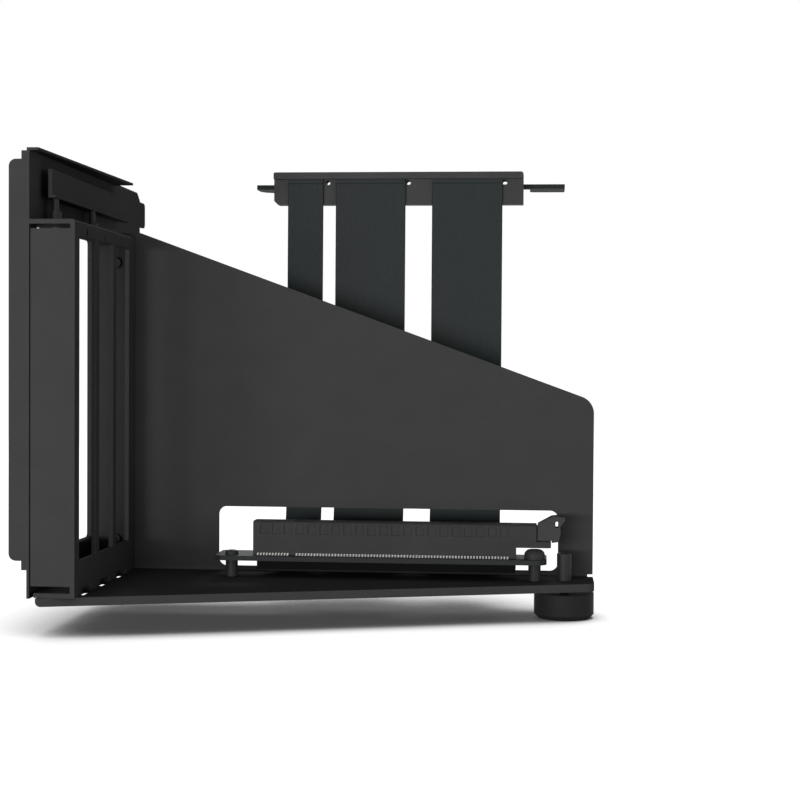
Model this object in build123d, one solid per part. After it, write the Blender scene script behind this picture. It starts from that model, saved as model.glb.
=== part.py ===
from build123d import *
import os
from math import atan2, cos, degrees, radians, sin, tan

# Vertical graphics card mount: a folded base and back panel, a three-slot
# bracket frame, a case-side plate, a riser with a card socket, three flat
# ribbons and an edge plug, and one levelling foot. Millimetres, +Z up.
# Sizes are given from a datum corner: x = 0 is the slot plate's inner face,
# y = 0 is its front flange, z = 0 is the base plate's top. ORIGIN then moves
# everything so that the row's origin is at the middle of the footprint.

# Sheet metal
SHEET = 1.2
FRAME_SHEET = 1.4
BEND = 1.0
FRAME_BEND_IN = 0.3
FRAME_BEND_OUT = 1.0

# Standard card sizes
SLOT_PITCH = 20.32
SLOT_COUNT = 3
KEY_FROM_SLOT = 57.15
PIN_PITCH = 1.0
PIN_COUNT = 82
KEY_PINS = 11
KEY_GAP = 3.0

# Base plate and its front lip
BASE_RIGHT = 157.0
BASE_LEFT = -11.7
FRONT_AT_ZERO = 2.4
FRONT_ANGLE = 18.0
BASE_CORNER_R = 3.5
LIP_HEIGHT = 2.6
LIP_CORNER_R = 1.6
LIP_RETURN = 8.0

# Back panel
PANEL_Y = 72.6
PANEL_RISE = 1.6
PANEL_SLOPE_RISE = 2.2
PANEL_SLOPE_ANGLE = 20.0
PANEL_CORNER_R = 6.0
RELIEF_LENGTH = 1.8
RELIEF_HEIGHT = 0.6

# Window in the back panel
WINDOW_LEFT = 29.3
WINDOW_RIGHT = 145.3
WINDOW_BOTTOM = 1.5
WINDOW_TOP = 21.9
WINDOW_R = 2.8

# Slot frame
TRAY_DEPTH = 14.0
FRAME_HEIGHT = 113.9
FLANGE_LOW = 3.5
FLANGE_TOP_GAP = 2.8
FLANGE_R = 2.0
FOOT_TURN = 6.0
SLOT_WIDTH = 16.3
SLOT_LAST_FAR = 63.84
SLOT_FIRST_EXTRA = 1.9
SLOT_LOW = 10.6
SLOT_TOP_GAP = 4.5
SLOT_R = 0.8
TONGUE_FIRST = 13.6
TONGUE_LENGTH = 12.0
TONGUE_DEPTH = 2.6
TONGUE_REACH = 0.7
TONGUE_RISE = 2.0
BRACKET_HOLE_R = 1.6
BRACKET_HOLE_X = -6.4
PEEP_HOLE_R = 1.2
PEEP_HOLE_DROP = 3.0

# Case-side plates: an inner one with the lip and the tab, an outer one with the flange
SIDE_SHEET = 0.8
REAR_SHEET = 1.6
REAR_BOTTOM = 8.3
REAR_FOOT = -0.3
REAR_RISE = 21.4
REAR_LENGTH = 133.8
REAR_LIP_NEAR = 3.6
REAR_LIP_FAR = 7.5
REAR_LIP_LENGTH = 97.4
REAR_OUTER_DROP = 0.9
REAR_OUTER_SHORT = 5.0
REAR_FLANGE = 3.9
REAR_FLANGE_LOW = 11.1
REAR_FLANGE_DROP = 3.4
REAR_FLANGE_R = 2.2
REAR_OPEN_NEAR = 7.4
REAR_OPEN_FAR = 70.8
REAR_OPEN_LOW = 11.0
REAR_OPEN_DROP = 1.3
REAR_OPEN_R = 1.5
REAR_CHAMFER = 4.0
REAR_CHAMFER_DROP = 2.6
TAB_LENGTH = 8.0
TAB_DROP = 3.1
TAB_HEIGHT = 9.5
TAB_R = 1.8
CASE_HOLE_R = 1.8
CASE_HOLE_INSET = 14.8
CASE_HOLE_LOW = 30.0
CASE_HOLE_HIGH = 105.0

# Retention plate over the bracket tabs
RETAIN_X = -10.2
RETAIN_NEAR = 10.3
RETAIN_FAR = 100.0
RETAIN_RISE = 7.4
RETAIN_HEIGHT = 8.7
RETAIN_SHEET = 1.2
RETAIN_LEDGE = 1.1
RETAIN_LEDGE_T = 0.8
PIN_R = 1.0
PIN_HEAD_R = 1.7
PIN_HEAD_H = 3.4
PIN_PLACES = (14.0, 54.6)

# Screws between the slot frame and the back panel, and rivets in the base
SCREW_HEAD_R = 1.9
SCREW_HEAD_H = 0.9
SCREW_SHANK_R = 1.25
SCREW_RECESS_R = 0.9
SCREW_RECESS_D = 0.5
FLANGE_SCREW_X = -6.3
FLANGE_SCREW_LOW = 10.2
FLANGE_SCREW_DROP = 8.7
RIVET_R = 1.6
RIVET_HEAD_R = 2.4
RIVET_HEAD_H = 0.7
RIVET_X = -7.6
RIVET_Y = (22.0, 58.0)

# Riser board under the card socket
BOARD_LEFT = 31.4
BOARD_RIGHT = 141.5
BOARD_FRONT = 53.6
BOARD_BACK = 70.2
BOARD_Z = 5.6
BOARD_T = 1.6
BOARD_R = 3.6
STANDOFF_R = 2.05
STANDOFF_BORE_R = 1.25
BOARD_SCREWS = ((36.8, 57.5), (137.5, 58.6))
BOARD_HEAD_R = (2.2, 3.4)
BOARD_HEAD_H = (1.5, 3.2)
BOARD_RECESS_R = 1.3
BOARD_RECESS_D = 0.8

# Card socket
SOCKET_Y = 61.5
SOCKET_WIDTH = 7.5
SOCKET_HEIGHT = 11.25
SOCKET_END = 1.75
SOCKET_FAR_END = 2.75
SOCKET_CHEEK = 6.7
SOCKET_ARM = 11.5
SOCKET_ARM_LOW = 10.85
SOCKET_ARM_T = 2.05
CARD_SLOT_WIDTH = 1.9
CARD_SLOT_DEPTH = 8.0
KEY_WIDTH = 1.7
WINDOW_PITCH = 4.0
RIB_GAP = 1.3
POCKET_HEIGHT = 3.2
POCKET_DROP = 1.0
POCKET_DEPTH = 0.35
TAIL_WIDTH = 0.5
TAIL_REACH = 1.1
TAIL_T = 0.3
TAIL_RISE = 0.7

# Latch at the socket's end
LATCH_REACH = 10.0
LATCH_LIFT = 1.05
LATCH_PIN_R = 0.7
LATCH_PIN_GAP = 0.06
LATCH_BLADE = 2.4
LATCH_GAP = 0.35
LATCH_GRIP = 6.6
LATCH_HOLE_AT = (3.35, 6.6)
LATCH_HOLE_WIDTH = 0.95
LATCH_HOLE_HEIGHT = 2.2

# Insulator under the board
INSULATOR_LEFT = 45.4
INSULATOR_RIGHT = 131.2
INSULATOR_FRONT = 56.6
INSULATOR_T = 3.0

# Flat ribbons and their route from the board to the plug
RIBBON_T = 1.2
RIBBON_X = ((48.0, 60.8), (65.3, 90.4), (99.9, 125.0))
RIBBON_START_Y = 58.0
RIBBON_Y = 103.3
POCKET_GAP = 0.1

# Edge plug
PLUG_LEFT = 42.8
PLUG_RIGHT = 132.4
PLUG_LOW = 128.2
PLUG_HIGH = 139.6
PLUG_GAP = 0.05
PLUG_FRONT_T = 2.4
PLUG_BACK_T = 3.2
PLUG_LIP_H = 2.4
PLUG_LIP_T = 1.6
PLUG_CHAMFER = 1.3
PLUG_CORNER_R = 0.9
PLUG_EYE_R = 0.85
PLUG_EYE_Z = 135.9
PLUG_EYES = (62.3, 91.3, 125.8)
PLUG_BOARD_Z = 134.2
PLUG_BOARD_LEFT = 35.5
PLUG_BOARD_RIGHT = 147.1
PLUG_BOARD_DEPTH = 19.5
PLUG_BOARD_R = 6.0
PLUG_NECK_INSET = 3.0
PLUG_NECK_FROM = 1.2
PLUG_EDGE_DEPTH = 7.0
PLUG_HOOK_NOTCH = 2.2
PLUG_HOOK_WEB = 3.0
PLUG_EYE_ROOM = 0.5
FINGER_WIDTH = 0.7
FINGER_LENGTH = 4.2
FINGER_T = 0.05

# Levelling foot
FOOT_FROM_BOARD = 5.75
FOOT_Y = 61.4
FOOT_R = 9.85
FOOT_CLEAR = 1.15
FOOT_BODY_H = 7.0
SOLE_H = 1.5
SOLE_CHAMFER = 1.4
BUSH_R = 2.4
BUSH_RISE = 9.0
STUD_R = 1.5
STUD_GAP = 0.08
STUD_DROP = 0.6
STUD_SEAT = 4.0

# Places worked out from the sizes above
FLANGE_HIGH = FRAME_HEIGHT - FLANGE_TOP_GAP
SLOT_HIGH = FRAME_HEIGHT - SLOT_TOP_GAP
PEEP_HOLE_Z = FRAME_HEIGHT - PEEP_HOLE_DROP
REAR_TOP = FRAME_HEIGHT + REAR_RISE
REAR_OUTER_HIGH = REAR_TOP - REAR_OUTER_DROP
REAR_FLANGE_HIGH = REAR_TOP - REAR_FLANGE_DROP
REAR_OPEN_HIGH = FRAME_HEIGHT - REAR_OPEN_DROP
TAB_HIGH = REAR_TOP - TAB_DROP
TAB_LOW = TAB_HIGH - TAB_HEIGHT
CASE_HOLE_Y = REAR_LENGTH - CASE_HOLE_INSET
RETAIN_LOW = FRAME_HEIGHT + RETAIN_RISE
RETAIN_HIGH = RETAIN_LOW + RETAIN_HEIGHT
PANEL_TOP_LEFT = FRAME_HEIGHT + PANEL_RISE
PANEL_SLOPE_AT_ZERO = FRAME_HEIGHT + PANEL_SLOPE_RISE
FLANGE_SCREW_Z = (FLANGE_SCREW_LOW, FRAME_HEIGHT - FLANGE_SCREW_DROP)
FOOT_X = BOARD_RIGHT + FOOT_FROM_BOARD
FRONT_SLOPE = tan(radians(FRONT_ANGLE))
PANEL_SLOPE = tan(radians(PANEL_SLOPE_ANGLE))
LIP_LEFT_Y = FRONT_AT_ZERO + FRONT_SLOPE * BASE_LEFT
FRAME_LEFT = -TRAY_DEPTH
SIDE_X = FRAME_LEFT - SIDE_SHEET
REAR_X = SIDE_X - REAR_SHEET
PANEL_BACK = PANEL_Y + SHEET
FIRST_PIN_X = KEY_FROM_SLOT - KEY_GAP / 2 - PIN_PITCH * (KEY_PINS - 1)
LAST_PIN_X = FIRST_PIN_X + PIN_PITCH * (PIN_COUNT - 2) + KEY_GAP
SOCKET_LEFT = FIRST_PIN_X - SOCKET_END
SOCKET_RIGHT = LAST_PIN_X + SOCKET_FAR_END
BOARD_TOP = BOARD_Z + BOARD_T
SOCKET_TOP = BOARD_TOP + SOCKET_HEIGHT
SOCKET_FRONT = SOCKET_Y - SOCKET_WIDTH / 2
SOCKET_BACK = SOCKET_Y + SOCKET_WIDTH / 2
LATCH_PIVOT_X = SOCKET_RIGHT + LATCH_REACH
LATCH_PIVOT_Z = SOCKET_ARM_LOW + LATCH_LIFT
INSULATOR_Z = BOARD_Z - INSULATOR_T
RIBBON_Z = BOARD_Z - INSULATOR_T / 2
PLUG_FACE = RIBBON_Y + RIBBON_T / 2 + PLUG_GAP
PLUG_Y = PLUG_FACE + PLUG_FRONT_T
FOOT_TOP = -LIP_HEIGHT - FOOT_CLEAR
FOOT_BOTTOM = FOOT_TOP - FOOT_BODY_H - SOLE_H
REAR_END = REAR_LENGTH + TAB_LENGTH
ORIGIN = (
    (REAR_X - REAR_FLANGE + BASE_RIGHT) / 2,
    (LIP_LEFT_Y + REAR_END) / 2,
    FOOT_BOTTOM,
)

# The latch's side view as (x, z) points from its pivot: the blade between the
# cheeks of the yoke, and the grip above the arm with its thumb lip.
LATCH_BLADE_POINTS = ((-5.9, 0.9), (-1.1, -1.15), (1.2, -1.15), (1.2, 2.6), (-2.8, 6.2), (-5.9, 5.6))
LATCH_GRIP_POINTS = (
    (-2.95, 1.4),
    (1.7, 1.4),
    (1.7, 0.65),
    (3.9, 1.0),
    (4.6, 3.5),
    (4.5, 6.0),
    (6.1, 8.0),
    (5.9, 9.0),
    (3.2, 9.4),
    (1.6, 9.2),
    (-2.95, 6.7),
)

# The ribbons' route as (y, z) points: back under the board, through the
# window, round an easy bend and straight up into the plug.
ROUTE = (
    (RIBBON_START_Y, RIBBON_Z),
    (72.5, RIBBON_Z - 0.1),
    (87.5, RIBBON_Z - 0.6),
    (99.2, 8.4),
    (RIBBON_Y + 0.2, 22.5),
    (RIBBON_Y - 0.3, 46.0),
    (RIBBON_Y - 0.6, 76.0),
    (RIBBON_Y - 0.3, 105.0),
    (RIBBON_Y, 126.0),
    (RIBBON_Y, PLUG_HIGH - PLUG_LIP_H - PLUG_GAP * 2),
)


def block(x0, x1, y0, y1, z0, z1):
    """A box between two corners."""
    return Pos((x0 + x1) / 2, (y0 + y1) / 2, (z0 + z1) / 2) * Box(x1 - x0, y1 - y0, z1 - z0)


def rod(x, y, z0, z1, radius):
    """An upright cylinder."""
    return Pos(x, y, (z0 + z1) / 2) * Cylinder(radius, z1 - z0)


def cross_rod(x0, x1, y, z, radius):
    """A cylinder along X."""
    return Pos((x0 + x1) / 2, y, z) * Rot(0, 90, 0) * Cylinder(radius, x1 - x0)


def depth_rod(x, y0, y1, z, radius):
    """A cylinder along Y."""
    return Pos(x, (y0 + y1) / 2, z) * Rot(90, 0, 0) * Cylinder(radius, y1 - y0)


def side_prism(points, x0, x1, radii=None):
    """A (y, z) outline run along X. radii maps a corner's index to its radius."""
    face = rounded(points, radii)
    plane = Plane(origin=(x0, 0, 0), x_dir=(0, 1, 0), z_dir=(1, 0, 0))
    return extrude(plane * face, amount=x1 - x0)


def front_prism(points, y0, y1, radii=None):
    """An (x, z) outline run along Y. radii maps a corner's index to its radius."""
    face = rounded(points, radii)
    plane = Plane(origin=(0, y1, 0), x_dir=(1, 0, 0), z_dir=(0, -1, 0))
    return extrude(plane * face, amount=y1 - y0)


def top_prism(points, z0, z1, radii=None):
    """An (x, y) outline run along Z. radii maps a corner's index to its radius."""
    face = rounded(points, radii)
    return extrude(Pos(0, 0, z0) * face, amount=z1 - z0)


def rounded(points, radii=None):
    """A closed outline with the named corners rounded."""
    face = make_face(Polyline(*points, close=True))
    for index, radius in (radii or {}).items():
        corner = Vector(*points[index])
        vertex = face.vertices().sort_by(lambda v: (Vector(v.X, v.Y) - corner).length)[0]
        face = fillet(vertex, radius)
    return face


def slot_box(x0, x1, y0, y1, z0, z1, radius):
    """A cutter through a plate that stands along Y and Z, with round corners."""
    points = ((y0, z0), (y1, z0), (y1, z1), (y0, z1))
    return side_prism(points, x0, x1, {i: radius for i in range(4)})


def front_y(x):
    """The base plate's slanted front edge."""
    return FRONT_AT_ZERO + FRONT_SLOPE * x


def slope_z(x):
    """The back panel's slanted top edge."""
    return PANEL_SLOPE_AT_ZERO - PANEL_SLOPE * x


def slot_edges(index):
    """Near and far edge of one bracket opening."""
    far = SLOT_LAST_FAR - SLOT_PITCH * (SLOT_COUNT - 1 - index)
    near = far - SLOT_WIDTH - (SLOT_FIRST_EXTRA if index == 0 else 0)
    return near, far


def tongue_cutter(index):
    """The cut that a bracket's tongue drops into."""
    middle = TONGUE_FIRST + SLOT_PITCH * index
    half = TONGUE_LENGTH / 2
    return block(-TONGUE_DEPTH, TONGUE_REACH, middle - half, middle + half, -LIP_HEIGHT, TONGUE_RISE)


def base_panel():
    """Base plate, back panel and front lip, folded from one sheet."""
    # the fold between the two plates, as one L-shaped section
    top = PANEL_SLOPE_AT_ZERO + PANEL_SLOPE * TRAY_DEPTH
    section = (
        (LIP_LEFT_Y, -SHEET),
        (PANEL_BACK, -SHEET),
        (PANEL_BACK, top),
        (PANEL_Y, top),
        (PANEL_Y, 0),
        (LIP_LEFT_Y, 0),
    )
    folded = side_prism(section, FRAME_LEFT, BASE_RIGHT, {1: BEND + SHEET, 4: BEND})
    # the sheet's outline from above: a slanted front edge and a round corner
    plan = (
        (BASE_LEFT, LIP_LEFT_Y),
        (BASE_RIGHT, front_y(BASE_RIGHT)),
        (BASE_RIGHT, PANEL_BACK),
        (FRAME_LEFT, PANEL_BACK),
        (FRAME_LEFT, PANEL_Y - FRAME_SHEET),
        (BASE_LEFT, PANEL_Y - FRAME_SHEET),
    )
    folded = folded & top_prism(plan, -SHEET, top, {1: BASE_CORNER_R})
    # the panel's outline from the front
    knee = (PANEL_SLOPE_AT_ZERO - PANEL_TOP_LEFT) / PANEL_SLOPE
    front = (
        (FRAME_LEFT, -SHEET),
        (BASE_RIGHT, -SHEET),
        (BASE_RIGHT, slope_z(BASE_RIGHT)),
        (knee, PANEL_TOP_LEFT),
        (FRAME_LEFT, PANEL_TOP_LEFT),
    )
    folded = folded & front_prism(front, LIP_LEFT_Y, PANEL_BACK, {2: PANEL_CORNER_R})
    # the lip: a rim under the front edge that turns round the right corner
    outline = plan[:3] + ((BASE_LEFT, PANEL_BACK),)
    rim = top_prism(outline, -LIP_HEIGHT, -SHEET / 2, {1: BASE_CORNER_R})
    shift = SHEET / cos(radians(FRONT_ANGLE))
    inner = (
        (BASE_LEFT - SHEET, LIP_LEFT_Y + shift - FRONT_SLOPE * SHEET),
        (BASE_RIGHT - SHEET, front_y(BASE_RIGHT - SHEET) + shift),
        (BASE_RIGHT - SHEET, PANEL_BACK + SHEET),
        (BASE_LEFT - SHEET, PANEL_BACK + SHEET),
    )
    rim -= top_prism(inner, -LIP_HEIGHT, 0, {1: BASE_CORNER_R - SHEET})
    reach = (
        (BASE_LEFT, LIP_LEFT_Y - SHEET),
        (BASE_RIGHT, front_y(BASE_RIGHT) - SHEET),
        (BASE_RIGHT, front_y(BASE_RIGHT) + LIP_RETURN),
        (BASE_LEFT, LIP_LEFT_Y + LIP_RETURN),
    )
    rim = rim & top_prism(reach, -LIP_HEIGHT, 0)
    corner = rim.edges().sort_by(lambda e: e.center().X + e.center().Z)[0]
    rim = fillet(corner, LIP_CORNER_R)
    sheet = folded + rim
    # window, tongue slots, bend relief and holes
    window = (
        (WINDOW_LEFT, WINDOW_BOTTOM),
        (WINDOW_RIGHT, WINDOW_BOTTOM),
        (WINDOW_RIGHT, WINDOW_TOP),
        (WINDOW_LEFT, WINDOW_TOP),
    )
    sheet -= front_prism(window, PANEL_Y - SHEET, PANEL_BACK + SHEET, {i: WINDOW_R for i in range(4)})
    for index in range(SLOT_COUNT):
        sheet -= tongue_cutter(index)
    relief_x = BASE_RIGHT - RELIEF_LENGTH
    relief_y = PANEL_Y - BEND - RELIEF_HEIGHT
    sheet -= block(relief_x, BASE_RIGHT + 1, relief_y, PANEL_BACK + 1, -LIP_HEIGHT, RELIEF_HEIGHT)
    for z in FLANGE_SCREW_Z:
        sheet -= depth_rod(FLANGE_SCREW_X, PANEL_Y - 1, PANEL_BACK + 1, z, SCREW_SHANK_R)
    for y in RIVET_Y:
        sheet -= rod(RIVET_X, y, -LIP_HEIGHT, 1, RIVET_R)
    for x, y in BOARD_SCREWS:
        sheet -= rod(x, y, -LIP_HEIGHT, 1, STANDOFF_BORE_R)
    sheet -= rod(FOOT_X, FOOT_Y, -LIP_HEIGHT, 1, BUSH_R)
    return sheet


def slot_frame():
    """Three bracket openings in a tray with two flanges and two shelves."""
    inner = FRAME_LEFT + FRAME_SHEET
    depth = PANEL_Y
    around = (
        (0, 0),
        (0, depth),
        (FRAME_LEFT, depth),
        (FRAME_LEFT, depth - FRAME_SHEET),
        (-FRAME_SHEET, depth - FRAME_SHEET),
        (-FRAME_SHEET, FRAME_SHEET),
        (inner, FRAME_SHEET),
        (inner, FOOT_TURN),
        (FRAME_LEFT, FOOT_TURN),
        (FRAME_LEFT, 0),
    )
    bend_in = FRAME_BEND_IN
    bend_out = FRAME_BEND_OUT
    corners = {0: bend_out, 1: bend_out, 4: bend_in, 5: bend_in, 9: bend_out}
    tray = top_prism(around, FLANGE_LOW, FLANGE_HIGH, corners)
    over = (
        (0, 0),
        (0, FRAME_HEIGHT),
        (FRAME_LEFT, FRAME_HEIGHT),
        (FRAME_LEFT, FRAME_HEIGHT - FRAME_SHEET),
        (-FRAME_SHEET, FRAME_HEIGHT - FRAME_SHEET),
        (-FRAME_SHEET, FRAME_SHEET),
        (inner, FRAME_SHEET),
        (inner, 0),
    )
    tray += front_prism(over, 0, depth, {1: bend_out})
    # room for the fold between the base plate and the back panel
    tray -= block(FRAME_LEFT, 1, depth - BEND - 0.2, depth + 1, -1, BEND + 0.2)
    for index in range(SLOT_COUNT):
        near, far = slot_edges(index)
        tray -= slot_box(-FRAME_SHEET - 1, 1, near, far, SLOT_LOW, SLOT_HIGH, SLOT_R)
        tray -= tongue_cutter(index)
        middle = TONGUE_FIRST + SLOT_PITCH * index
        tray -= rod(BRACKET_HOLE_X, middle, FRAME_HEIGHT - 3, FRAME_HEIGHT + 1, BRACKET_HOLE_R)
        tray -= cross_rod(-FRAME_SHEET - 1, 1, middle, PEEP_HOLE_Z, PEEP_HOLE_R)
    for z in FLANGE_SCREW_Z:
        tray -= depth_rod(FLANGE_SCREW_X, depth - FRAME_SHEET - 1, depth + 1, z, SCREW_SHANK_R)
    for y in RIVET_Y:
        tray -= rod(RIVET_X, y, -1, FRAME_SHEET + 1, RIVET_R)
    for y in PIN_PLACES:
        tray -= rod(RETAIN_X, y, FRAME_HEIGHT - FRAME_SHEET - 1, FRAME_HEIGHT + 1, PIN_R)
    return tray


def rear_holes(sheet):
    """The bracket opening and the two case holes, through both case-side plates."""
    sheet -= slot_box(
        REAR_X - 1, FRAME_LEFT + 1, REAR_OPEN_NEAR, REAR_OPEN_FAR, REAR_OPEN_LOW, REAR_OPEN_HIGH, REAR_OPEN_R
    )
    for z in (CASE_HOLE_LOW, CASE_HOLE_HIGH):
        sheet -= cross_rod(REAR_X - 1, FRAME_LEFT + 1, CASE_HOLE_Y, z, CASE_HOLE_R)
    return sheet


def side_plate():
    """Inner case-side plate, with a top lip and a locating tab."""
    plate = (
        (0, REAR_FOOT),
        (PANEL_BACK, REAR_FOOT),
        (PANEL_BACK, REAR_BOTTOM),
        (REAR_LENGTH - REAR_CHAMFER, REAR_BOTTOM),
        (REAR_LENGTH, REAR_BOTTOM + REAR_CHAMFER_DROP),
        (REAR_LENGTH, REAR_TOP - REAR_CHAMFER_DROP),
        (REAR_LENGTH - REAR_CHAMFER, REAR_TOP),
        (0, REAR_TOP),
    )
    sheet = side_prism(plate, SIDE_X, FRAME_LEFT, {2: BEND})
    sheet += slot_box(SIDE_X, FRAME_LEFT, REAR_LENGTH - TAB_LENGTH, REAR_END, TAB_LOW, TAB_HIGH, TAB_R)
    lip = (
        (SIDE_X, 0),
        (SIDE_X + REAR_LIP_NEAR, 0),
        (SIDE_X + REAR_LIP_FAR, REAR_LIP_LENGTH),
        (SIDE_X, REAR_LIP_LENGTH),
    )
    sheet += top_prism(lip, REAR_TOP - SIDE_SHEET, REAR_TOP)
    return rear_holes(sheet)


def rear_frame():
    """Outer case-side plate, with a stiffening flange along its front."""
    plate = (
        (0, REAR_BOTTOM),
        (REAR_LENGTH - REAR_OUTER_SHORT, REAR_BOTTOM),
        (REAR_LENGTH - REAR_OUTER_SHORT, REAR_OUTER_HIGH),
        (0, REAR_OUTER_HIGH),
    )
    sheet = side_prism(plate, REAR_X, SIDE_X, {1: REAR_FLANGE_R, 2: REAR_FLANGE_R})
    flange = (
        (REAR_X - REAR_FLANGE, REAR_FLANGE_LOW),
        (SIDE_X, REAR_FLANGE_LOW),
        (SIDE_X, REAR_FLANGE_HIGH),
        (REAR_X - REAR_FLANGE, REAR_FLANGE_HIGH),
    )
    sheet += front_prism(flange, 0, REAR_SHEET, {0: REAR_FLANGE_R, 3: REAR_FLANGE_R})
    return rear_holes(sheet)


def retention_plate():
    """Upright strip above the shelf, with a ledge along its lower edge."""
    section = (
        (RETAIN_X - RETAIN_SHEET, RETAIN_LOW),
        (RETAIN_X + RETAIN_LEDGE, RETAIN_LOW),
        (RETAIN_X + RETAIN_LEDGE, RETAIN_LOW + RETAIN_LEDGE_T),
        (RETAIN_X, RETAIN_LOW + RETAIN_LEDGE_T),
        (RETAIN_X, RETAIN_HIGH),
        (RETAIN_X - RETAIN_SHEET, RETAIN_HIGH),
    )
    return front_prism(section, RETAIN_NEAR, RETAIN_FAR)


def plate_pins():
    """Two headed pins that carry the retention plate on the shelf."""
    pins = []
    for y in PIN_PLACES:
        under = FRAME_HEIGHT - FRAME_SHEET
        pin = rod(RETAIN_X, y, under, RETAIN_LOW, PIN_R)
        pin += rod(RETAIN_X, y, FRAME_HEIGHT, FRAME_HEIGHT + PIN_HEAD_H, PIN_HEAD_R)
        pins.append(pin)
    return Compound(pins)


def flange_screws():
    """Two screws through the tray's far flange into the back panel."""
    screws = []
    face = PANEL_Y - FRAME_SHEET
    for z in FLANGE_SCREW_Z:
        screw = depth_rod(FLANGE_SCREW_X, face - SCREW_HEAD_H, face, z, SCREW_HEAD_R)
        edge = screw.edges().filter_by(GeomType.CIRCLE).sort_by(Axis.Y)[0]
        screw = fillet(edge, SCREW_HEAD_H * 0.55)
        screw += depth_rod(FLANGE_SCREW_X, face, PANEL_BACK, z, SCREW_SHANK_R)
        screw -= depth_rod(FLANGE_SCREW_X, face - SCREW_HEAD_H, face - SCREW_HEAD_H + SCREW_RECESS_D, z, SCREW_RECESS_R)
        screws.append(screw)
    return Compound(screws)


def base_rivets():
    """Two rivets through the tray's lower shelf and the base plate."""
    rivets = []
    for y in RIVET_Y:
        rivet = rod(RIVET_X, y, -SHEET, FRAME_SHEET, RIVET_R)
        rivet += rod(RIVET_X, y, FRAME_SHEET, FRAME_SHEET + RIVET_HEAD_H, RIVET_HEAD_R)
        rivet += rod(RIVET_X, y, -SHEET - RIVET_HEAD_H, -SHEET, RIVET_HEAD_R)
        rivets.append(rivet)
    return Compound(rivets)


def riser_board():
    """Circuit board under the socket, with two screw holes."""
    outline = (
        (BOARD_LEFT, BOARD_FRONT),
        (BOARD_RIGHT, BOARD_FRONT),
        (BOARD_RIGHT, BOARD_BACK),
        (BOARD_LEFT, BOARD_BACK),
    )
    board = top_prism(outline, BOARD_Z, BOARD_TOP, {0: BOARD_R, 1: BOARD_R, 2: 1.0, 3: 1.0})
    for x, y in BOARD_SCREWS:
        board -= rod(x, y, BOARD_Z - 1, BOARD_TOP + 1, STANDOFF_BORE_R)
    return board


def board_standoffs():
    """Two round standoffs on the base plate."""
    posts = []
    for x, y in BOARD_SCREWS:
        posts.append(rod(x, y, 0, BOARD_Z, STANDOFF_R) - rod(x, y, 0, BOARD_Z, STANDOFF_BORE_R))
    return Compound(posts)


def board_screws():
    """Two pan-head screws through the board into the standoffs."""
    screws = []
    for (x, y), radius, height in zip(BOARD_SCREWS, BOARD_HEAD_R, BOARD_HEAD_H):
        head = BOARD_TOP + height
        screw = rod(x, y, BOARD_TOP, head, radius)
        edge = screw.edges().filter_by(GeomType.CIRCLE).sort_by(Axis.Z)[-1]
        screw = fillet(edge, min(height, radius - BOARD_RECESS_R) * 0.9)
        screw += rod(x, y, -SHEET, BOARD_TOP, STANDOFF_BORE_R)
        screw -= rod(x, y, head - BOARD_RECESS_D, head, BOARD_RECESS_R)
        screws.append(screw)
    return Compound(screws)


def pin_positions():
    """X of every contact in one row of the socket."""
    places = []
    for pin in range(PIN_COUNT):
        jump = KEY_GAP - PIN_PITCH if pin >= KEY_PINS else 0
        places.append(FIRST_PIN_X + PIN_PITCH * pin + jump)
    return places


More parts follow.
